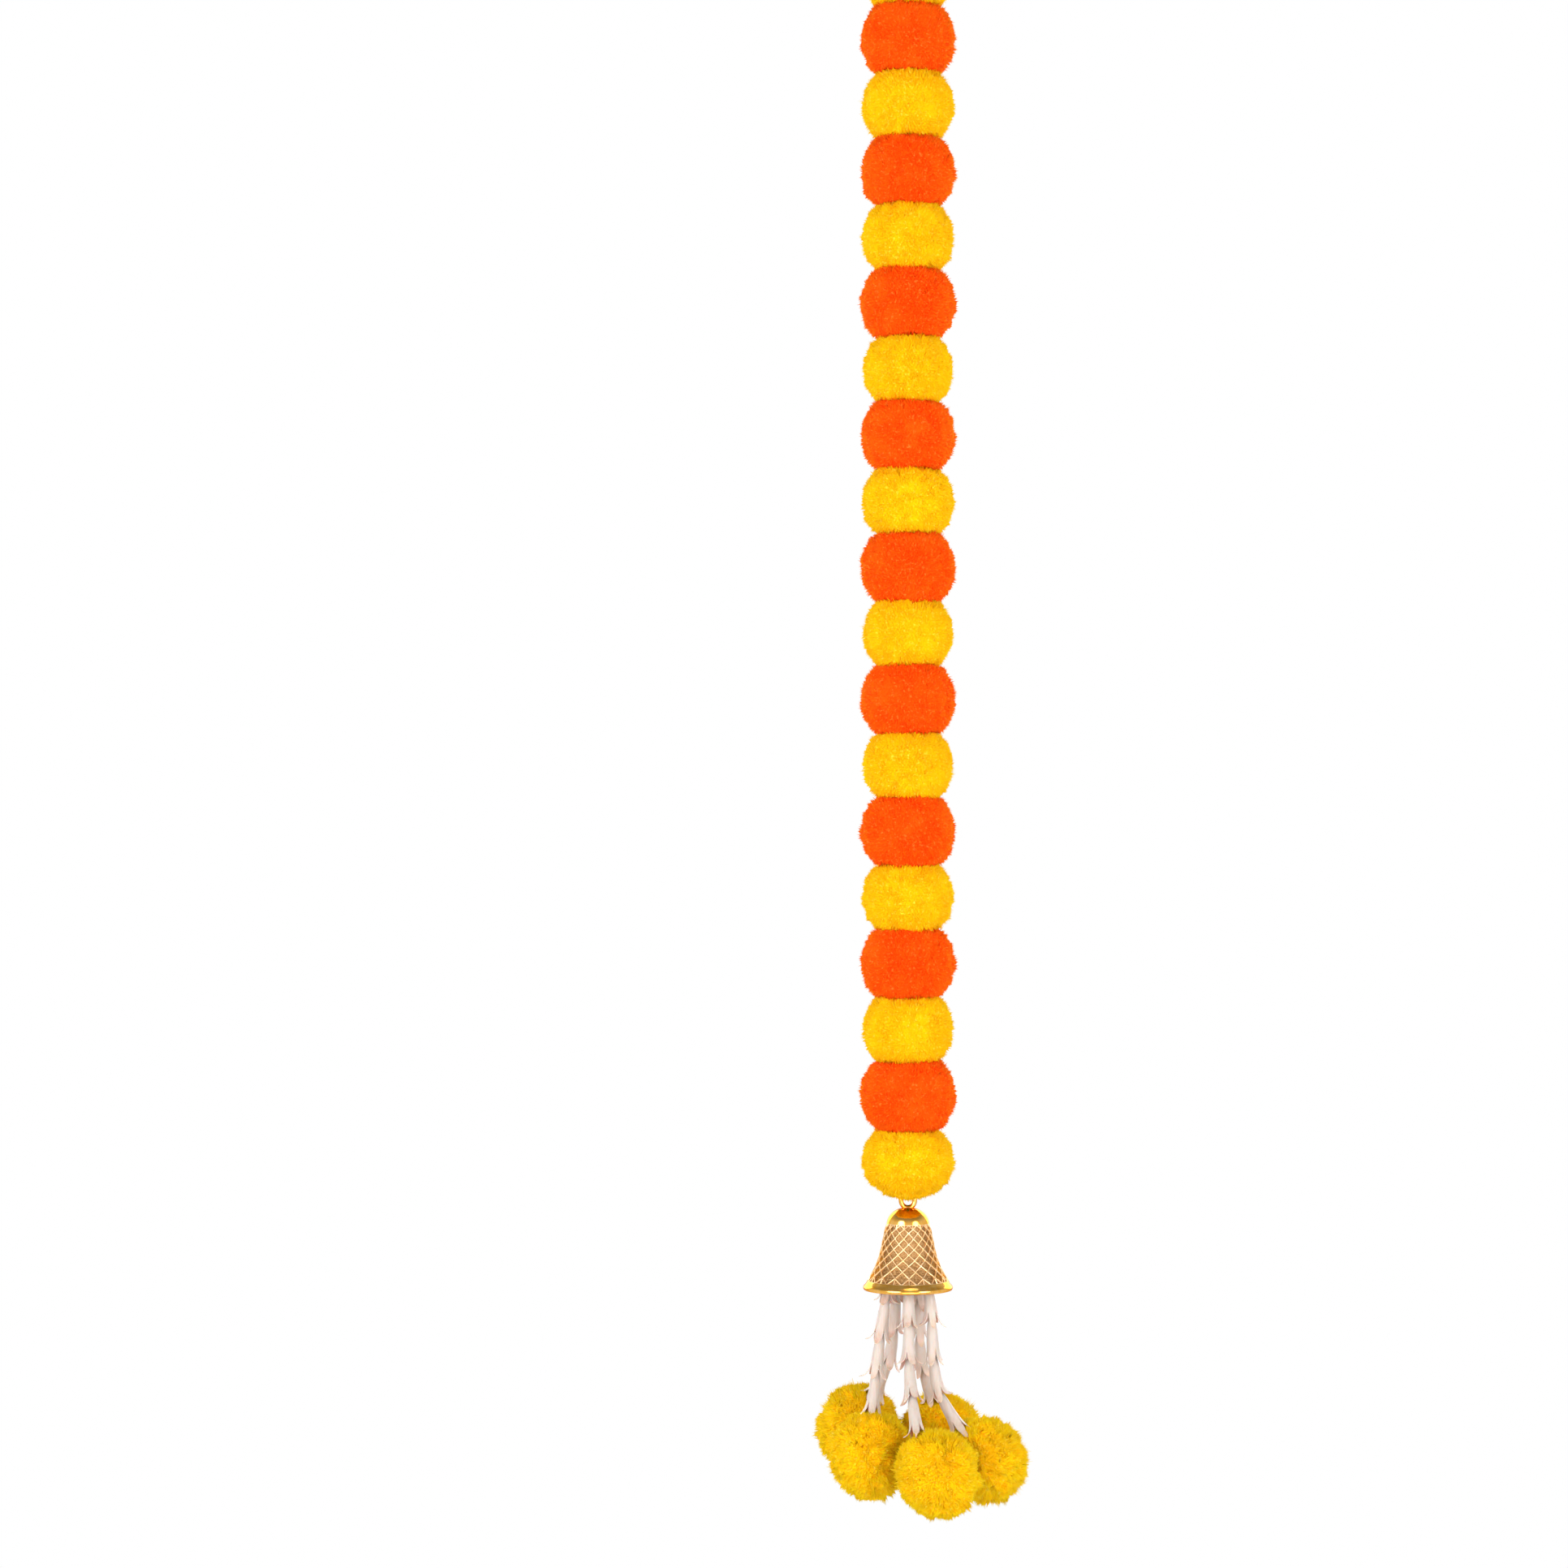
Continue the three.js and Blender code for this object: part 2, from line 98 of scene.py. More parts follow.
# The string in millimetres. The top loop's places are under its top, and the lower knot's and
# loop's are over the bell's rim. A ring is given by its half width, half height and middle.
TOP_KNOT = -50
LOOP_LEG = [(-1.3, 0, -50), (-2.0, 0, -41), (-6.0, 0, -24), (-7.5, 0, -6.3)]
LOOP_BEND = 7.5
LOOP_BEND_ANGLES = (2.4, math.pi / 2, 0.75)
LOWER_KNOT = 59
LOWER_LOOP = (3.5, 3.01, 54.1)
LOWER_LOOP_STRING = 1.1
KNOT_RADIUS, KNOT_HALF, KNOT_TURNS, KNOT_STRING = 1.85, 1.8, 2.5, 1.05

# The tie in millimetres over the bell's rim: its three rings through the eye, the windings round
# them by radius, foot, top and turns, and the core of threads that they bind.
TIE_SHIFTS = (-0.45, 0.0, 0.45)
TIE_RING = (2.2, 1.98, 39.8)
TIE_WINDINGS = [(2.1, 34.2, 37.6, 5), (2.75, 33.6, 34.4, 2)]
TIE_CORE = (33.2, 34, 35, 36, 37, 37.8)
TIE_CORE_RADIUS, TIE_THREAD = 2.3, 0.42

# Each tuberose strand in millimetres from the middle of the bell's rim: its way from the foot of
# the tie to its last floret, and the middle of its pompom.
STRANDS = [
    ([(-1.9, -0.6, 32.8), (-8.6, -3.5, 11), (-12.5, -5, -5), (-17.2, -6.4, -38), (-20.2, -7, -67)],
     (-21, -9.5, -90.5)),
    ([(0, -2, 32.8), (0, -9, 11), (0, -13, -5), (0.2, -23, -43), (4, -41, -76)],
     (14.5, -45, -95)),
    ([(1.9, -0.6, 32.8), (8.2, -4, 11), (12, -6.5, -5), (16.4, -11, -53), (29, -13, -77)],
     (42.5, -6.5, -94)),
    ([(1.2, 1.6, 32.8), (4.4, 6.6, 11), (6, 9.6, -5), (8.4, 20.5, -43), (15, 32, -67.5)],
     (21, 41, -87.5)),
    ([(-1.2, 1.6, 32.8), (-4.6, 7, 11), (-6.2, 10.2, -5), (-9.8, 23, -41), (-18.5, 30, -63.5)],
     (-27, 38, -83)),
]
FLORETS = 4
FLORET_LENGTH = 20.8
FLORET_SEAT = 22.2  # middle of a pompom to the mouth of the floret that lies on it
PETALS = 5
PETAL_THICKNESS = 0.28
PETAL_OPENINGS = (0.45, 1.3)  # how far a petal opens, least and most, against the outline below
PETAL_CURLS = (-0.8, 2.4)  # mm that a petal's tip curls back, least and most
TUBE_RADIUS, FLARE = 3.4, 4.8  # a floret's tube, and how far out its petals open

# One petal's part of a floret, from its narrow top to the petal's tip, in millimetres: its middle
# line as (radius, distance down), then its side as (radius, half width, distance down).
FLORET_ROWS = [
    ((1.3, -4.0), (1.05, 0.76, -4.0)),
    ((2.3, -2.0), (1.86, 1.35, -2.0)),
    ((2.95, 1.5), (2.39, 1.73, 1.5)),
    ((3.3, 7.0), (2.67, 1.94, 7.0)),
    ((3.6, 12.5), (2.91, 2.12, 12.5)),
    ((4.1, 16.2), (3.38, 2.26, 15.7)),
    ((4.9, 18.6), (4.3, 2.1, 18.1)),
    ((6.0, 20.3), (5.5, 1.85, 20.0)),
    ((7.2, 21.3), (6.9, 1.3, 21.1)),
    ((8.4, 21.8), (8.2, 0.35, 21.8)),
]

# Soft lamps: name, place, size in metres and power in watts. They point at the garland's middle.
LAMPS = [
    ("key", (-1.1, -1.35, -0.3), 1.1, 22),
    ("fill", (1.15, -1.3, -0.4), 1.0, 16),
    ("bounce", (0.1, -1.2, -1.2), 1.0, 6.5),
    ("top", (0.15, -0.5, 0.85), 0.8, 3.5),
    ("back left", (-0.9, 1.5, -0.3), 1.3, 15),
    ("back right", (0.9, 1.5, -0.3), 1.3, 15),
]
LAMP_AIM = (0, 0, -0.55)
CAMERA_PLACE = (-0.0694, -2.2, -0.5633)
CAMERA_LENS, CAMERA_SENSOR = 90.2, 36


def linear(colour):
    """An sRGB hex colour as linear red, green, blue and alpha."""
    parts = [int(colour[place:place + 2], 16) / 255 for place in (1, 3, 5)]
    return [c / 12.92 if c <= 0.04045 else ((c + 0.055) / 1.055) ** 2.4 for c in parts] + [1.0]


def colour_setting(name, description, colour):
    return bpy.props.FloatVectorProperty(
        name=name, description=description, subtype="COLOR", size=4, min=0, max=1,
        default=linear(colour),
    )


def length_setting(name, description, millimetres):
    return bpy.props.FloatProperty(
        name=name, description=description, default=millimetres * MM, min=0, unit="LENGTH",
        subtype="DISTANCE",
    )


class GarlandSizes(bpy.types.PropertyGroup):
    """Sizes of the garland's pieces."""

    yellow_radius: length_setting("Yellow radius", "Yellow flower's middle to its yarn ends", 25.9)
    orange_radius: length_setting("Orange radius", "Orange flower's middle to its yarn ends", 27.0)
    end_radius: length_setting("End radius", "Tassel pompom's middle to its yarn ends", 24.2)
    pressed_height: length_setting("Pressed height", "Flower's middle to a pressed end", 20.2)
    free_height: length_setting("Free height", "Flower's middle to an end nothing presses", 20.4)
    yarn_end: length_setting("Yarn end", "How far the cut yarn stands out", 2.3)
    string_radius: length_setting("String radius", "Radius of the green string", 1.2)
    thread_radius: length_setting("Thread radius", "Radius of the tassel's threads", 0.7)
    floor_radius: length_setting("Floor radius", "Radius of the floor", 850)
    floor_drop: length_setting("Floor drop", "How far the floor is below the top loop", 1300)


class GarlandColours(bpy.types.PropertyGroup):
    """Colours of the garland's materials."""

    yellow: colour_setting("Yellow", "Cut ends of the yellow yarn", "#ffb104")
    # Painted shade: the yellow yarn's deep colour stands in for the shade down between its ends.
    yellow_deep: colour_setting("Deep yellow", "Yellow yarn down between its ends", "#ff9d00")
    yellow_brushed: colour_setting("Brushed yellow", "Yellow yarn brushed flat", "#ffbb04")
    yellow_pale: colour_setting("Pale yellow", "Flecks on the yellow yarn", "#ffd93c")
    orange: colour_setting("Orange", "Cut ends of the orange yarn", "#ff4603")
    # Painted shade: the orange yarn's deep colour stands in for the shade down between its ends.
    orange_deep: colour_setting("Deep orange", "Orange yarn down between its ends", "#ff3600")
    orange_brushed: colour_setting("Brushed orange", "Orange yarn brushed flat", "#ff5005")
    orange_pale: colour_setting("Pale orange", "Flecks on the orange yarn", "#ff7a2c")
    tassel: colour_setting("Tassel", "Cut ends of the tassel's yarn", "#ffc608")
    # Painted shade: the tassel yarn's deep colour stands in for the shade down between its ends.
    tassel_deep: colour_setting("Deep tassel", "Tassel's yarn down between its ends", "#ffa000")
    tassel_brushed: colour_setting("Brushed tassel", "Tassel's yarn brushed flat", "#f5ae05")
    tassel_pale: colour_setting("Pale tassel", "Flecks on the tassel's yarn", "#ffd644")
    gold: colour_setting("Gold", "Polished plating of the bell", "#e6a63a")
    gold_pale: colour_setting("Pale gold", "Polished plating where it is thin", "#ecb966")
    # Painted highlight: the ribs' paler gold stands in for the light that their crests catch.
    gold_rib_painted_highlight: colour_setting("Gold ribs", "Plating on the ribs, with a painted highlight", "#e3ba82")
    gold_rib_painted_highlight_pale: colour_setting("Pale gold ribs", "Ribs where the painted highlight is palest, in random patches", "#f1d6ab")
    gold_ground: colour_setting("Gold ground", "Grained plating between the ribs", "#b38c5f")
    gold_pits: colour_setting("Gold pits", "Pits of the grained plating", "#8a6238")
    petal: colour_setting("Petal", "Satin of the tuberose florets", "#bfaea5")
    petal_tip: colour_setting("Petal tip", "Satin at the tips of the petals", "#d0b8a0")
    # Painted shade: the petal crease colour stands in for the shade in the satin's creases.
    petal_crease_painted_shade: colour_setting("Petal creases", "Satin in its creases", "#b99f8c")
    string: colour_setting("String", "Green string", "#4f9142")
    # Painted shade: the string's shade colour stands in for the shade between its fibres.
    string_painted_shade: colour_setting("String shade", "Green string between its fibres", "#2f6a2c")
    thread: colour_setting("Thread", "Threads of the tassel", "#ece4da")
    # Painted shade: the threads' shade colour stands in for the shade between their fibres.
    thread_painted_shade: colour_setting("Thread shade", "Threads between their fibres", "#b9ada0")
    floor: colour_setting("Floor", "Floor below the garland", "#f2f1ef")
    floor_shade: colour_setting("Floor shade", "Darker patches of the floor", "#edecea")


# Materials


def node(material, kind, properties=None, values=None, links=None):
    """Adds a node to the material, with its properties, the values of its inputs and its links."""
    made = material.node_tree.nodes.new(kind)
    for name, value in (properties or {}).items():
        setattr(made, name, value)
    for name, value in (values or {}).items():
        made.inputs[name].default_value = value
    for name, socket in (links or {}).items():
        material.node_tree.links.new(socket, made.inputs[name])
    return made


def new_material(name):
    material = bpy.data.materials.new(name)
    material.use_nodes = True
    material.node_tree.nodes.clear()
    return material


def finish(material, values, links):
    """Ends the material in a Principled shader with these values and links."""
    shader = node(material, "ShaderNodeBsdfPrincipled", values=values, links=links)
    node(material, "ShaderNodeOutputMaterial", links={"Surface": shader.outputs["BSDF"]})
    return material


def mixed(material, share, first, second):
    """A colour between the first, at share 0, and the second: each is a colour or a socket."""
    values, links = {}, {}
    for place, given in ((0, share), (6, first), (7, second)):
        (links if isinstance(given, bpy.types.NodeSocket) else values)[place] = given
    made = node(material, "ShaderNodeMix", {"data_type": "RGBA"}, values, links)
    return made.outputs[2]


def noise_share(material, size, low, high, detail=2, drawn_out=1):
    """A share from 0 to 1 that wanders over the surface in patches of that size, in metres.

    The patches are longer up and down by the factor drawn_out.
    """
    place = node(material, "ShaderNodeTexCoord")
    squeezed = node(
        material, "ShaderNodeMapping", values={"Scale": (1, 1, 1 / drawn_out)},
        links={"Vector": place.outputs["Object"]},
    )
    noise = node(
        material, "ShaderNodeTexNoise", values={"Scale": 1 / size, "Detail": detail},
        links={"Vector": squeezed.outputs["Vector"]},
    )
    spread = node(
        material, "ShaderNodeMapRange", values={"From Min": low, "From Max": high},
        links={"Value": noise.outputs["Fac"]},
    )
    return spread.outputs["Result"]


def yarn_material(colour, colours, tuft):
    """Cut acrylic pompom yarn: matt and fuzzy, in its own colour at its ends, with painted shade
    down between them.

    Where it was brushed flat, in broad patches, it shows another shade. Its tufts have the size
    given, and the painted shade also darkens random patches of that size. Its fibres are too fine to
    show, so their bump is drawn ten times as coarse.
    """
    tip, painted_shade, brushed, pale = (
        list(getattr(colours, colour + shade)) for shade in ("", "_deep", "_brushed", "_pale")
    )
    material = new_material(f"acrylic pompom yarn, {colour}")
    height = node(material, "ShaderNodeAttribute", {"attribute_name": "yarn_end"})
    along = node(
        material, "ShaderNodeMapRange", values={"From Min": 0.0, "From Max": 0.55},
        links={"Value": height.outputs["Fac"]},
    )
    # Painted shade: the colour darkens from the yarn's own colour at its ends to the painted shade
    # down between them.
    body = mixed(material, along.outputs["Result"], painted_shade, tip)
    # The painted shade also darkens random patches the size of a tuft.
    tufts = mixed(material, noise_share(material, tuft, 0.5, 1.1), body, painted_shade)
    flats = mixed(material, noise_share(material, 2.2 * tuft, 0.42, 0.68), tufts, brushed)
    flecks = mixed(material, noise_share(material, 1.7 * MM, 0.58, 0.78), flats, pale)
    fibres = node(
        material, "ShaderNodeTexNoise", values={"Scale": 1 / (0.5 * MM), "Detail": 3},
        links={"Vector": node(material, "ShaderNodeTexCoord").outputs["Object"]},
    )
    bump = node(
        material, "ShaderNodeBump", values={"Strength": 0.35, "Distance": 0.2 * MM},
        links={"Height": fibres.outputs["Fac"]},
    )
    return finish(
        material,
        {
            "Roughness": 0.95, "Specular IOR Level": 0.05, "Sheen Weight": 0.2,
            "Sheen Roughness": 0.45, "Sheen Tint": tip, "Subsurface Weight": 0.4,
            "Subsurface Scale": 1.5 * MM, "Subsurface Radius": (1.0, 0.6, 0.2),
        },
        {"Base Color": flecks, "Normal": bump.outputs["Normal"]},
    )


def polished_gold_material(name, colour, pale, roughness):
    """Vacuum plated plastic, polished: mirror-like gold with the faint orange peel of the moulding.

    It turns a deeper orange at a glancing look, as gold lacquer over aluminium does.
    """
    material = new_material(name)
    body = mixed(material, noise_share(material, 3 * MM, 0.35, 0.75), colour, pale)
    peel = node(
        material, "ShaderNodeTexNoise", values={"Scale": 1 / (1.6 * MM), "Detail": 1},
        links={"Vector": node(material, "ShaderNodeTexCoord").outputs["Object"]},
    )
    bump = node(
        material, "ShaderNodeBump", values={"Strength": 0.12, "Distance": 0.12 * MM},
        links={"Height": peel.outputs["Fac"]},
    )
    return finish(
        material,
        {
            "Metallic": 1.0, "Roughness": roughness, "Specular Tint": linear("#e0a050"),
            "Coat Weight": 0.3, "Coat Roughness": 0.1,
        },
        {"Base Color": body, "Normal": bump.outputs["Normal"]},
    )


def grained_gold_material(colours):
    """Vacuum plated plastic over a spark-eroded ground: gold in pale and dark grains.

    Such a ground's grain is finer than 0.3 mm, and is drawn three times as coarse so that it shows.
    """
    material = new_material("vacuum plated gold, grained")
    grain = noise_share(material, 0.9 * MM, 0.35, 0.7, detail=3)
    body = mixed(material, grain, list(colours.gold_pits), list(colours.gold_ground))
    bump = node(
        material, "ShaderNodeBump", values={"Strength": 0.8, "Distance": 0.25 * MM},
        links={"Height": grain},
    )
    return finish(
        material, {"Metallic": 1.0, "Roughness": 0.42, "Specular Tint": linear("#d8a468")},
        {"Base Color": body, "Normal": bump.outputs["Normal"]},
    )


def petal_material(colours):
    """Polyester satin, stiffened and heat curled: thin and white, a little cream at the tips."""
    material = new_material("polyester satin")
    along = node(material, "ShaderNodeAttribute", {"attribute_name": "petal"})
    body = mixed(material, along.outputs["Fac"], list(colours.petal), list(colours.petal_tip))
    # Painted shade: darker streaks, long up and down, as in the satin's creases.
    painted_crease_shade = mixed(
        material, noise_share(material, 1.8 * MM, 0.5, 0.85, drawn_out=6), body,
        list(colours.petal_crease_painted_shade),
    )
    folds = noise_share(material, 1.1 * MM, 0.3, 0.7, detail=3, drawn_out=9)
    bump = node(
        material, "ShaderNodeBump", values={"Strength": 0.45, "Distance": 0.3 * MM},
        links={"Height": folds},
    )
    return finish(
        material,
        {
            "Roughness": 0.42, "Sheen Weight": 0.15, "Subsurface Weight": 0.35,
            "Subsurface Scale": 2 * MM,
        },
        {"Base Color": painted_crease_shade, "Normal": bump.outputs["Normal"]},
    )


def cord_material(name, colour, shade, roughness):
    """Twisted fibre: streaks of painted shade between the filaments.

    The filaments are too fine to show, so the streaks are drawn ten times as wide as they are.
    """
    material = new_material(name)
    streaks = noise_share(material, 0.6 * MM, 0.35, 0.75, detail=3)
    # Painted shade in the streaks between the filaments.
    body = mixed(material, streaks, shade, colour)
    bump = node(
        material, "ShaderNodeBump", values={"Strength": 0.5, "Distance": 0.1 * MM},
        links={"Height": streaks},
    )
    return finish(
        material, {"Roughness": roughness, "Sheen Weight": 0.1},
        {"Base Color": body, "Normal": bump.outputs["Normal"]},
    )


# Modelling


def deselect():
    bpy.ops.object.select_all(action="DESELECT")


def select(*pieces):
    deselect()
    for piece in pieces:
        piece.select_set(True)
    bpy.context.view_layer.objects.active = pieces[0]


def edit(piece, mode="VERT"):
    """Opens the piece in edit mode with nothing selected."""
    select(piece)
    bpy.ops.object.mode_set(mode="EDIT")
    bpy.ops.mesh.select_mode(type=mode)
    bpy.ops.mesh.select_all(action="DESELECT")
    bpy.ops.object.mode_set(mode="OBJECT")


def in_edit_mode(*steps):
    """Runs the steps in edit mode."""
    bpy.ops.object.mode_set(mode="EDIT")
    for step, settings in steps:
        step(**settings)
    bpy.ops.object.mode_set(mode="OBJECT")


def joined(name, *pieces):
    """The pieces as one piece of that name."""
    select(*pieces)
    bpy.ops.object.join()
    pieces[0].name = name
    pieces[0].data.name = name
    return pieces[0]


def copied(piece, name, place):
    """A copy of the piece with a mesh of its own, moved and turned by place in its mesh."""
    select(piece)
    bpy.ops.object.duplicate()
    copy = bpy.context.object
    copy.name = name
    copy.data.name = name
    copy.matrix_world = place
    bpy.ops.object.transform_apply(location=True, rotation=True, scale=True)
    return copy


def removed(*pieces):
    select(*pieces)
    bpy.ops.object.delete()


def applied(piece, kind, **settings):
    """Adds a modifier to the piece and applies it."""
    select(piece)
    modifier = piece.modifiers.new(kind.title(), kind)
    for name, value in settings.items():
        setattr(modifier, name, value)
    bpy.ops.object.modifier_apply(modifier=modifier.name)


def smooth(piece, degrees=180):
    """Shades the piece smooth, but for edges that bend by more than the degrees."""
    select(piece)
    bpy.ops.object.shade_smooth_by_angle(angle=math.radians(degrees))


def placed(piece, node_name, slot, *materials):
    """Gives the piece its materials, and lets it stand for the CAD node."""
    if materials:
        piece.data.materials.clear()
        for material in materials:
            piece.data.materials.append(material)
    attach(piece, "root")
    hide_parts(node_name)


def cord(name, points, radius, plies, pitch, sides=6):
    """A twisted cord along the points: two or more plies wound round its route."""
    count = len(points)
    tangents = [
        (points[min(i + 1, count - 1)] - points[max(i - 1, 0)]).normalized() for i in range(count)
    ]
    side = tangents[0].orthogonal().normalized()
    travelled, corners, faces = 0.0, [], []
    ply_radius = radius * PLY_SHARE
    offset = radius - ply_radius
    frames = []
    for i, (point, tangent) in enumerate(zip(points, tangents)):
        if i:
            travelled += (point - points[i - 1]).length
            side = (side - tangent * side.dot(tangent)).normalized()
        frames.append((point, side.copy(), tangent.cross(side), 2 * math.pi * travelled / pitch))
    for ply in range(plies):
        start = len(corners)
        for point, across, up, twist in frames:
            turn = twist + 2 * math.pi * ply / plies
            middle = point + (across * math.cos(turn) + up * math.sin(turn)) * offset
            for s in range(sides):
                a = 2 * math.pi * s / sides
                corners.append(middle + (across * math.cos(a) + up * math.sin(a)) * ply_radius)
        for i in range(count - 1):
            for s in range(sides):
                a, b = start + i * sides + s, start + i * sides + (s + 1) % sides
                faces.append((a, b, b + sides, a + sides))
        faces.append(tuple(start + s for s in reversed(range(sides))))
        faces.append(tuple(start + (count - 1) * sides + s for s in range(sides)))
    mesh = bpy.data.meshes.new(name)
    mesh.from_pydata(corners, [], faces)
    mesh.update()
    piece = bpy.data.objects.new(name, mesh)
    bpy.context.collection.objects.link(piece)
    smooth(piece)
    return piece


def upright_ring(shift, width, height, middle, steps):
    """Points of a ring across the X axis, in metres, by its half width, half height and middle."""
    return [
        Vector((shift, width * math.cos(a), middle + height * math.sin(a)))
        for a in (2 * math.pi * i / steps for i in range(steps + 1))
    ]


def helix(radius, low, high, turns, steps):
    """Points of a helix round the Z axis, from low to high, in metres, with steps to a turn."""
    count = int(turns * steps) + 1
    return [
        Vector((
            radius * math.cos(2 * math.pi * i / steps), radius * math.sin(2 * math.pi * i / steps),
            low + (high - low) * i / (count - 1),
        ))
        for i in range(count)
    ]


class Route:
    """A smooth way through the points, then straight on to the end, measured along its length."""

    def __init__(self, points, end=None, steps=24):
        points = [Vector(point) for point in points]
        ends = [2 * points[0] - points[1], *points, 2 * points[-1] - points[-2]]
        self.points = [points[0]]
        for a, b, c, d in zip(ends, ends[1:], ends[2:], ends[3:]):
            gaps = [max((q - p).length ** 0.5, 1e-6) for p, q in ((a, b), (b, c), (c, d))]
            leave = (b - a) / gaps[0] - (c - a) / (gaps[0] + gaps[1]) + (c - b) / gaps[1]
            reach = (c - b) / gaps[1] - (d - b) / (gaps[1] + gaps[2]) + (d - c) / gaps[2]
            leave, reach = leave * gaps[1], reach * gaps[1]
            for step in range(1, steps + 1):
                t = step / steps
                self.points.append(
                    b * (2 * t**3 - 3 * t**2 + 1) + leave * (t**3 - 2 * t**2 + t)
                    + c * (3 * t**2 - 2 * t**3) + reach * (t**3 - t**2)
                )
        self.bend = sum((q - p).length for p, q in zip(self.points, self.points[1:]))
        if end is not None:
            self.points.append(Vector(end))
        self.marks = [0.0]
        for p, q in zip(self.points, self.points[1:]):
            self.marks.append(self.marks[-1] + (q - p).length)

    def at(self, distance):
        """The point and the direction at that distance from the start."""
        distance = min(max(distance, 0), self.marks[-1])
        i = 1
        while i < len(self.marks) - 1 and self.marks[i] < distance:
            i += 1
        p, q = self.points[i - 1], self.points[i]
        share = (distance - self.marks[i - 1]) / (self.marks[i] - self.marks[i - 1])
        return p.lerp(q, share), (q - p).normalized()

    def points_along(self, steps):
        """Points in equal steps from its start to its end."""
        return [self.at(self.marks[-1] * i / steps)[0] for i in range(steps + 1)]

    def frame(self, distance):
        """The point at that distance, with the sideways and forward directions there."""
        point, along = self.at(distance)
        side = Vector((0, 1, 0)).cross(along).normalized()
        return point, side, along.cross(side)


# Pompoms


def press(piece, radius, ends):
    """Flattens a ball's upper and lower end to a height: hard on a neighbour, softly if free."""
    for vertex in piece.data.vertices:
        height, is_pressed = ends[0] if vertex.co.z > 0 else ends[1]
        if is_pressed:
            reach = abs(vertex.co.z) / height
            reach /= (1 + reach**16) ** (1 / 16)
            vertex.co.z = math.copysign(height * reach, vertex.co.z)
        else:
            vertex.co.z *= height / radius


def clump(piece, amount, size, group=""):
    """Moves the piece, or its group, about in soft lumps: by how much and how large, in metres."""
    texture = bpy.data.textures.new("clumps", "CLOUDS")
    texture.cloud_type = "COLOR"
    texture.noise_scale = size
    applied(
        piece, "DISPLACE", texture=texture, strength=amount, mid_level=0.5,
        direction="RGB_TO_XYZ", vertex_group=group, texture_coords="LOCAL",
    )
    bpy.data.textures.remove(texture)


def spiked(piece, height, uneven, seed):
    """Pokes every selected face up into a yarn end and leans it a little: the ends form a group."""
    base = len(piece.data.vertices)
    in_edit_mode((bpy.ops.mesh.poke, {"offset": height, "use_relative_offset": False}))
    edit(piece)
    for vertex in piece.data.vertices[base:]:
        vertex.select = True
    in_edit_mode((bpy.ops.transform.vertex_random, {
        "offset": uneven, "uniform": 0, "normal": 0.4, "seed": seed,
    }))
    group = piece.vertex_groups.new(name="ends")
    group.add(list(range(base, len(piece.data.vertices))), 1.0, "REPLACE")


def hidden(point, ends):
    """Whether a face lies where a neighbour covers it."""
    height, is_pressed = ends[0] if point.z > 0 else ends[1]
    is_near_end = is_pressed and abs(point.z) > height * 0.7
    return is_near_end and math.hypot(point.x, point.y) < COVERED * MM


def ball(radius, ends, lowered, turn=(0, 0, 0)):
    """A ball whose ends are pressed that much lower, with every face selected that shows."""
    deselect()
    bpy.ops.mesh.primitive_ico_sphere_add(subdivisions=5, radius=radius, rotation=turn)
    bpy.ops.object.transform_apply(location=False, rotation=True, scale=False)
    made = bpy.context.object
    press(made, radius, [(height - lowered, is_pressed) for height, is_pressed in ends])
    edit(made, "FACE")
    for face in made.data.polygons:
        face.select = not hidden(face.center, ends)
    return made


def pompom(name, radius, ends, yarn, seed, lump=(3.4, 6), lean=(2.4, 3)):
    """A pompom about the origin: thick ends of cut yarn below, and finer ones that stand out.

    Its surface is lumpy and its yarn ends lean, each by how much and how far apart, in millimetres.
    """
    body = ball(radius - yarn, ends, yarn * 0.6)
    spiked(body, yarn * 0.75, yarn * 0.3, seed)

    fine = ball(radius - yarn * 1.1, ends, yarn * 0.7, turn=(0.7, 0.4, 0.3))
    in_edit_mode(
        (bpy.ops.mesh.inset, {"thickness": 0.3 * MM, "use_individual": True}),
        (bpy.ops.mesh.select_all, {"action": "INVERT"}),
        (bpy.ops.mesh.delete, {"type": "FACE"}),
        (bpy.ops.mesh.select_all, {"action": "SELECT"}),
    )
    spiked(fine, yarn * 1.1, yarn * 0.4, seed + 1)

    piece = joined(name, body, fine)
    mark_ends(piece)
    clump(piece, lump[0] * MM, lump[1] * MM)
    clump(piece, lean[0] * MM, lean[1] * MM, "ends")
    piece.vertex_groups.clear()
    smooth(piece)
    return piece


def mark_ends(piece):
    """Keeps what is a yarn end, for the material, in an attribute."""
    group = piece.vertex_groups["ends"].index
    marks = [
        1.0 if any(item.group == group for item in vertex.groups) else 0.0
        for vertex in piece.data.vertices
    ]
    attribute = piece.data.attributes.new("yarn_end", "FLOAT", "POINT")
    attribute.data.foreach_set("value", marks)


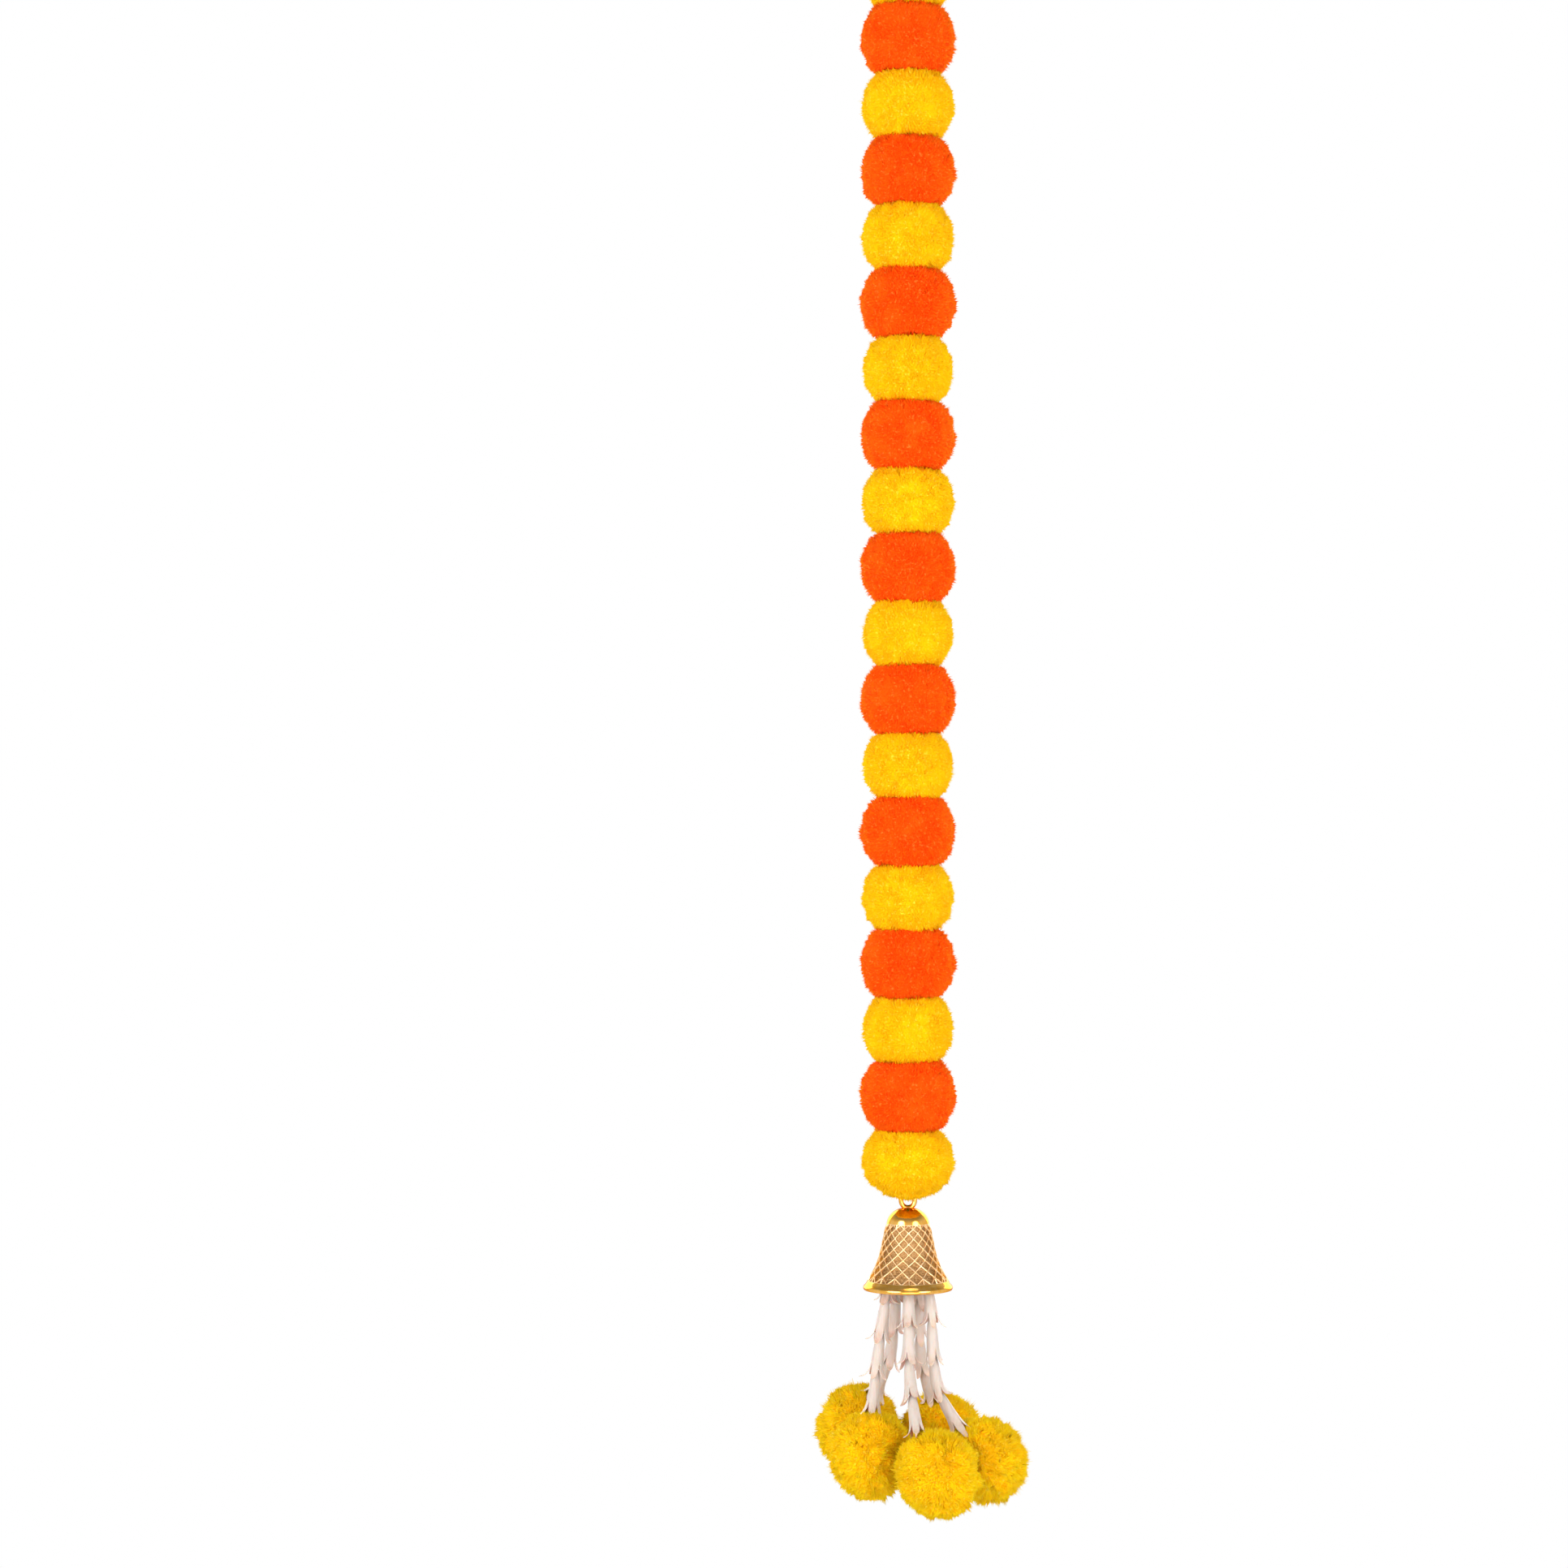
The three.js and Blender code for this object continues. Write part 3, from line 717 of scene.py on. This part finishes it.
class GARLAND_OT_flowers(bpy.types.Operator):
    """Models the run of pressed pompom flowers, orange and yellow in turn"""

    bl_idname = "garland.flowers"
    bl_label = "Flowers"

    def execute(self, context):
        sizes, colours = context.scene.garland_sizes, context.scene.garland_colours
        pressed, free = (sizes.pressed_height, True), (sizes.free_height, False)
        yarns = {colour: yarn_material(colour, colours, 7 * MM) for colour in ("yellow", "orange")}
        models = {
            kind: pompom(kind, radius, ends, sizes.yarn_end, seed)
            for kind, radius, ends, seed in (
                ("first", sizes.orange_radius, (free, pressed), 11),
                ("orange", sizes.orange_radius, (pressed, pressed), 23),
                ("yellow", sizes.yellow_radius, (pressed, pressed), 37),
                ("last", sizes.yellow_radius, (pressed, free), 51),
            )
        }
        chance = random.Random(4)
        for number, kind in enumerate(FLOWERS, 1):
            name = f"flower_{number:02d}"
            colour = "yellow" if kind in YELLOW_FLOWERS else "orange"
            low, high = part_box(name)
            middle = (low.z + high.z) / 2
            turn = chance.uniform(0, 2 * math.pi)
            tilt = Matrix.Rotation(chance.uniform(-FLOWER_TILT, FLOWER_TILT), 4, "X")
            tilt = tilt @ Matrix.Rotation(chance.uniform(-FLOWER_TILT, FLOWER_TILT), 4, "Y")
            girth = chance.uniform(*FLOWER_GIRTH)
            place = (
                Matrix.Translation((0, 0, middle)) @ tilt @ Matrix.Rotation(turn, 4, "Z")
                @ Matrix.Diagonal((girth, girth, 1, 1))
            )
            flower = copied(models[kind], f"pompom_{name}", place)
            placed(flower, name, f"{colour}_yarn", yarns[colour])
        removed(*models.values())
        return {"FINISHED"}


class GARLAND_OT_end_pompoms(bpy.types.Operator):
    """Models the five pompoms at the ends of the tassel"""

    bl_idname = "garland.end_pompoms"
    bl_label = "End pompoms"

    def execute(self, context):
        sizes, colours = context.scene.garland_sizes, context.scene.garland_colours
        yarn = yarn_material("tassel", colours, 6 * MM)
        radius = sizes.end_radius
        ends = ((radius, False), (radius, False))
        model = pompom(
            "model", radius, ends, sizes.yarn_end * 1.5, 71, lump=(6, 7.5), lean=(5, 4.4)
        )
        chance = random.Random(9)
        for number, (way, middle) in enumerate(STRANDS, 1):
            up = Vector(way[-1]) - Vector(middle)
            turn = Vector((0, 0, 1)).rotation_difference(up).to_matrix().to_4x4()
            spin = Matrix.Rotation(chance.uniform(0, 2 * math.pi), 4, "Z")
            place = Matrix.Translation(Vector(middle) * MM + Vector((0, 0, RIM_Z))) @ turn @ spin
            end = copied(model, f"end_pompom_{number}_yarn", place)
            placed(end, f"end_pompom_{number}", "end_yarn", yarn)
        removed(model)
        return {"FINISHED"}


# Bell


def bell_shell(*materials):
    """The bell's shell, polished, with a net of ribs raised round sunken grained cells."""
    foot = NET_ROWS[0]
    dome = [
        (foot[0] * math.cos(a), foot[1] + (DOME_TOP - foot[1]) * math.sin(a))
        for a in DOME_ANGLES
    ]
    profile = [*dome, *NET_ROWS, *LIP, *INSIDE]
    mesh = bpy.data.meshes.new("bell")
    mesh.from_pydata(
        [(radius * MM, 0, height * MM) for radius, height in profile],
        [(i, i + 1) for i in range(len(profile) - 1)], [],
    )
    bell = bpy.data.objects.new("bell", mesh)
    bpy.context.collection.objects.link(bell)
    edit(bell)
    in_edit_mode(
        (bpy.ops.mesh.select_all, {"action": "SELECT"}),
        (bpy.ops.mesh.spin, {
            "steps": NET_COLUMNS, "angle": 2 * math.pi, "center": (0, 0, 0), "axis": (0, 0, 1),
        }),
        (bpy.ops.mesh.select_all, {"action": "SELECT"}),
        (bpy.ops.mesh.remove_doubles, {"threshold": 0.01 * MM}),
        (bpy.ops.mesh.normals_make_consistent, {"inside": False}),
    )
    heights = {round(height, 1): row for row, (radius, height) in enumerate(NET_ROWS)}

    def crossing(vertex):
        """The row and column of a vertex of the net, or None for any other."""
        row = heights.get(round(vertex.co.z / MM, 1))
        if row is None or abs(math.hypot(*vertex.co.xy) / MM - NET_ROWS[row][0]) > 0.3:
            return None
        return row, round(math.atan2(vertex.co.y, vertex.co.x) / (2 * math.pi) * NET_COLUMNS)

    # Every other vertex is a crossing of two ribs: those are joined slantwise, and the vertices
    # between them go, which leaves diamond cells.
    edit(bell)
    for vertex in bell.data.vertices:
        found = crossing(vertex)
        vertex.select = found is not None and sum(found) % 2 == 0
    in_edit_mode((bpy.ops.mesh.vert_connect, {}))
    edit(bell)
    for vertex in bell.data.vertices:
        found = crossing(vertex)
        is_between = found is not None and sum(found) % 2 == 1
        vertex.select = is_between and 0 < found[0] < len(NET_ROWS) - 1
    in_edit_mode((bpy.ops.mesh.dissolve_verts, {}))
    for material in materials:
        bell.data.materials.append(material)

    # Each cell sinks from its ribs to its ground, and all edges of the net stay sharp.
    edit(bell, "FACE")
    top, bottom = NET_ROWS[0][1] * MM, NET_ROWS[-1][1] * MM
    for face in bell.data.polygons:
        is_outer = face.normal.xy.dot(face.center.xy) > 0
        if is_outer and bottom + 0.3 * MM < face.center.z < top - 0.1 * MM:
            face.select = True
            face.material_index = 1
    in_edit_mode(*(
        (bpy.ops.mesh.inset, {"thickness": width * MM, "depth": depth * MM, "use_individual": True})
        for width, depth in NET_STEPS
    ))
    for face in bell.data.polygons:
        if face.select:
            face.material_index = 2
    in_edit_mode(
        *[(bpy.ops.mesh.select_more, {})] * len(NET_STEPS),
        (bpy.ops.transform.edge_crease, {"value": 1}),
    )
    applied(bell, "SUBSURF", levels=2, render_levels=2)
    return bell


def wire_eye(radius, wire, depth, stretch, height):
    """An upright ring of round wire that faces the front, sizes in millimetres."""
    deselect()
    bpy.ops.mesh.primitive_torus_add(
        major_radius=radius * MM, minor_radius=wire * MM, major_segments=36, minor_segments=14,
        rotation=(math.pi / 2, 0, 0),
    )
    ring = bpy.context.object
    bpy.ops.object.transform_apply(location=True, rotation=True, scale=True)
    shape = Matrix.Diagonal((1, depth, stretch, 1))
    ring.data.transform(Matrix.Translation((0, 0, height * MM)) @ shape)
    return ring


class GARLAND_OT_bell(bpy.types.Operator):
    """Models the gold bell with its netted side, dome, lip and eyes"""

    bl_idname = "garland.bell"
    bl_label = "Bell"

    def execute(self, context):
        colours = context.scene.garland_colours
        polished = polished_gold_material(
            "vacuum plated gold, polished", list(colours.gold), list(colours.gold_pale), 0.14
        )
        # The ribs' material carries a painted highlight: its gold is paler, as where the crests
        # catch the light.
        rib = polished_gold_material(
            "vacuum plated gold, rubbed ribs", list(colours.gold_rib_painted_highlight),
            list(colours.gold_rib_painted_highlight_pale), 0.38,
        )
        eyes = wire_eye(3.8, 1.4, 1.4, 1.05, OUTER_EYE), wire_eye(3.2, 1.1, 1, 0.8, INNER_EYE)
        for eye in eyes:
            eye.data.materials.append(polished)
        bell = joined("gold_bell", bell_shell(polished, rib, grained_gold_material(colours)), *eyes)
        bell.data.transform(Matrix.Translation((0, 0, RIM_Z)))
        smooth(bell, 45)
        placed(bell, "bell", "gold_bell")
        return {"FINISHED"}


# Tassel


def floret():
    """One trumpet floret down along Z from the origin, in millimetres, with its curled petals."""
    deselect()
    bpy.ops.mesh.primitive_grid_add(
        x_subdivisions=len(FLORET_ROWS) - 1, y_subdivisions=2, size=1
    )
    strip = bpy.context.object
    in_rows = sorted(strip.data.vertices, key=lambda vertex: tuple(vertex.co.xy))
    for place, vertex in enumerate(in_rows):
        (radius, distance), (side, width, side_distance) = FLORET_ROWS[place // 3]
        across = place % 3 - 1
        vertex.co = (side, width * across, -side_distance) if across else (radius, 0, -distance)
    edit(strip)
    in_edit_mode(
        (bpy.ops.mesh.select_all, {"action": "SELECT"}),
        (bpy.ops.mesh.spin, {
            "steps": PETALS, "angle": 2 * math.pi, "center": (0, 0, 0), "axis": (0, 0, 1),
            "dupli": True,
        }),
        (bpy.ops.mesh.select_all, {"action": "SELECT"}),
        (bpy.ops.mesh.remove_doubles, {"threshold": 0.04}),
        (bpy.ops.mesh.normals_make_consistent, {"inside": False}),
    )
    applied(strip, "SUBSURF", levels=2, render_levels=2)
    applied(strip, "SOLIDIFY", thickness=PETAL_THICKNESS, offset=0)
    smooth(strip)
    return strip


def threaded(model, name, route, top, chance):
    """A copy of the floret along the route, its petals each opened and curled by chance."""
    petals = [
        (chance.uniform(*PETAL_OPENINGS), chance.uniform(*PETAL_CURLS)) for _ in range(PETALS)
    ]
    twist = chance.uniform(0, 2 * math.pi)
    flower = copied(model, name, Matrix.Identity(4))
    values = []
    for vertex in flower.data.vertices:
        x, y, z = vertex.co
        radius, turn, distance = math.hypot(x, y), math.atan2(y, x), -z
        opening = max(0.0, min(1.0, (radius - TUBE_RADIUS) / FLARE))
        stretch, curl = petals[round(turn / (2 * math.pi / PETALS)) % PETALS]
        radius += (radius - TUBE_RADIUS) * (stretch - 1) if radius > TUBE_RADIUS else 0
        distance -= curl * opening
        point, side, front = route.frame((top + distance) * MM)
        outwards = side * math.cos(turn + twist) - front * math.sin(turn + twist)
        vertex.co = point + outwards * radius * MM
        values.append(opening)
    attribute = flower.data.attributes.new("petal", "FLOAT", "POINT")
    attribute.data.foreach_set("value", values)
    return flower


class GARLAND_OT_tuberose_strands(bpy.types.Operator):
    """Models the five strands of tuberose florets on their threads"""

    bl_idname = "garland.tuberose_strands"
    bl_label = "Tuberose strands"

    def execute(self, context):
        sizes, colours = context.scene.garland_sizes, context.scene.garland_colours
        satin = petal_material(colours)
        model = floret()
        rim = Vector((0, 0, RIM_Z))
        for number, (way, middle) in enumerate(STRANDS, 1):
            chance = random.Random(100 + number)
            middle = Vector(middle)
            seat = middle + (Vector(way[-1]) - middle).normalized() * FLORET_SEAT
            stations = [Vector(point) * MM + rim for point in (*way[:-1], seat)]
            route = Route(stations, middle * MM + rim)
            first_top = route.bend / MM - FLORETS * FLORET_LENGTH
            thread = cord(
                "thread", route.points_along(90), sizes.thread_radius, 2, 2.4 * MM, 5
            )
            florets = [
                threaded(model, "floret", route, first_top + place * FLORET_LENGTH, chance)
                for place in range(FLORETS)
            ]
            strand = joined(f"tuberose_{number}", *florets, thread)
            placed(strand, f"tuberose_strand_{number}", "tuberose", satin)
        removed(model)
        return {"FINISHED"}


class GARLAND_OT_tie(bpy.types.Operator):
    """Models the tie of wound thread that hangs the tassel in the bell"""

    bl_idname = "garland.tie"
    bl_label = "Tie"

    def execute(self, context):
        colours = context.scene.garland_colours
        thread = cord_material(
            "white sewing thread", list(colours.thread), list(colours.thread_painted_shade), 0.75
        )
        width, height, middle = (size * MM for size in TIE_RING)
        runs = [upright_ring(shift * MM, width, height, middle, 32) for shift in TIE_SHIFTS]
        for radius, low, high, turns in TIE_WINDINGS:
            runs.append(helix(radius * MM, low * MM, high * MM, turns, 18))
        windings = [cord("winding", run, TIE_THREAD * MM, 2, 1.6 * MM) for run in runs]
        spine = [Vector((0, 0, place * MM)) for place in TIE_CORE]
        core = cord("core", spine, TIE_CORE_RADIUS * MM, 5, 14 * MM, 8)
        tie = joined("thread_tie", *windings, core)
        tie.data.transform(Matrix.Translation((0, 0, RIM_Z)))
        placed(tie, "tassel_tie", "tassel_thread", thread)
        return {"FINISHED"}


class GARLAND_OT_string(bpy.types.Operator):
    """Models the green string with its loops and knots"""

    bl_idname = "garland.string"
    bl_label = "String"

    def execute(self, context):
        sizes, colours = context.scene.garland_sizes, context.scene.garland_colours
        green = cord_material(
            "twisted polypropylene string", list(colours.string), list(colours.string_painted_shade), 0.6
        )
        radius, pitch = sizes.string_radius, 7 * MM
        bend_height = LOOP_LEG[-1][2]
        bend = [
            (LOOP_BEND * math.cos(a), 0, bend_height + LOOP_BEND * math.sin(a))
            for a in LOOP_BEND_ANGLES
        ]
        other_leg = [(-x, y, z) for x, y, z in reversed(LOOP_LEG)]
        way = Route([Vector(point) * MM for point in (*LOOP_LEG, *bend, *other_leg)])
        loop = way.points_along(140)
        top_knot, lower_knot = TOP_KNOT * MM, RIM_Z + LOWER_KNOT * MM
        drop = lower_knot - top_knot
        run = [Vector((0, 0, top_knot + drop * i / 720)) for i in range(721)]
        width, height, middle = (size * MM for size in LOWER_LOOP)
        lower_loop = upright_ring(0, width, height, RIM_Z + middle, 40)
        pieces = [
            cord("loop", loop, radius, 3, pitch),
            cord("run", run, radius, 3, pitch),
            cord("lower_loop", lower_loop, LOWER_LOOP_STRING * MM, 3, 5.5 * MM),
        ]
        for knot in (top_knot, lower_knot):
            low, high = knot - KNOT_HALF * MM, knot + KNOT_HALF * MM
            points = helix(KNOT_RADIUS * MM, low, high, KNOT_TURNS, 20)
            pieces.append(cord("knot", points, KNOT_STRING * MM, 3, 5 * MM))
        string = joined("green_string", *pieces)
        placed(string, "string", "green_string", green)
        return {"FINISHED"}


# Stage


class GARLAND_OT_stage(bpy.types.Operator):
    """Sets the pale floor, the soft lights, the white surroundings and the camera"""

    bl_idname = "garland.stage"
    bl_label = "Stage"

    def execute(self, context):
        scene = context.scene
        sizes, colours = scene.garland_sizes, scene.garland_colours
        deselect()
        bpy.ops.mesh.primitive_circle_add(
            vertices=128, radius=sizes.floor_radius, fill_type="NGON",
            location=(0, 0, -sizes.floor_drop),
        )
        floor = context.object
        floor.name = "floor"
        # Rolled matt paint: nearly white, with no shine and only faint patches.
        paint = new_material("matt paint, pale")
        tone = mixed(
            paint, noise_share(paint, 8 * MM, 0.3, 0.7), list(colours.floor),
            list(colours.floor_shade),
        )
        finish(paint, {"Roughness": 0.9, "Specular IOR Level": 0.2}, {"Base Color": tone})
        floor.data.materials.append(paint)

        for name, place, size, power in LAMPS:
            deselect()
            bpy.ops.object.light_add(type="AREA", location=place)
            lamp = context.object
            lamp.name = name
            lamp.data.shape = "DISK"
            lamp.data.size = size
            lamp.data.energy = power
            aim = Vector(LAMP_AIM) - Vector(place)
            lamp.rotation_euler = aim.to_track_quat("-Z", "Y").to_euler()

        world = bpy.data.worlds.new("white studio")
        world.use_nodes = True
        height = node(
            world, "ShaderNodeSeparateXYZ",
            links={"Vector": node(world, "ShaderNodeTexCoord").outputs["Generated"]},
        )
        share = node(
            world, "ShaderNodeMapRange", values={"From Min": 0.25, "From Max": 0.7},
            links={"Value": height.outputs["Z"]},
        )
        tone = mixed(world, share.outputs["Result"], linear("#ffffff"), linear("#a8a8a8"))
        world.node_tree.links.new(tone, world.node_tree.nodes["Background"].inputs["Color"])
        scene.world = world
        scene.view_settings.view_transform = "Standard"

        deselect()
        bpy.ops.object.camera_add(location=CAMERA_PLACE, rotation=(math.pi / 2, 0, 0))
        scene.camera = context.object
        scene.camera.data.lens = CAMERA_LENS
        scene.camera.data.sensor_width = CAMERA_SENSOR
        return {"FINISHED"}


class GARLAND_PT_panel(bpy.types.Panel):
    """Lists the garland's pieces, sizes and colours"""

    bl_label = "Marigold garland"
    bl_idname = "GARLAND_PT_panel"
    bl_space_type = "VIEW_3D"
    bl_region_type = "UI"
    bl_category = "Garland"

    def draw(self, context):
        for operator in OPERATORS:
            self.layout.operator(operator.bl_idname)
        for settings in (context.scene.garland_sizes, context.scene.garland_colours):
            box = self.layout.box()
            for name in settings.__annotations__:
                box.prop(settings, name)


OPERATORS = (
    GARLAND_OT_stage, GARLAND_OT_flowers, GARLAND_OT_string, GARLAND_OT_bell, GARLAND_OT_tie,
    GARLAND_OT_tuberose_strands, GARLAND_OT_end_pompoms,
)
CLASSES = (GarlandSizes, GarlandColours, *OPERATORS, GARLAND_PT_panel)


def register():
    for each in CLASSES:
        bpy.utils.register_class(each)
    bpy.types.Scene.garland_sizes = bpy.props.PointerProperty(type=GarlandSizes)
    bpy.types.Scene.garland_colours = bpy.props.PointerProperty(type=GarlandColours)


def unregister():
    del bpy.types.Scene.garland_sizes
    del bpy.types.Scene.garland_colours
    for each in reversed(CLASSES):
        bpy.utils.unregister_class(each)


def main():
    """Builds the garland."""
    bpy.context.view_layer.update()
    register()
    bpy.ops.garland.stage()
    bpy.ops.garland.flowers()
    bpy.ops.garland.string()
    bpy.ops.garland.bell()
    bpy.ops.garland.tie()
    bpy.ops.garland.tuberose_strands()
    bpy.ops.garland.end_pompoms()


if __name__ == "__main__":
    main()
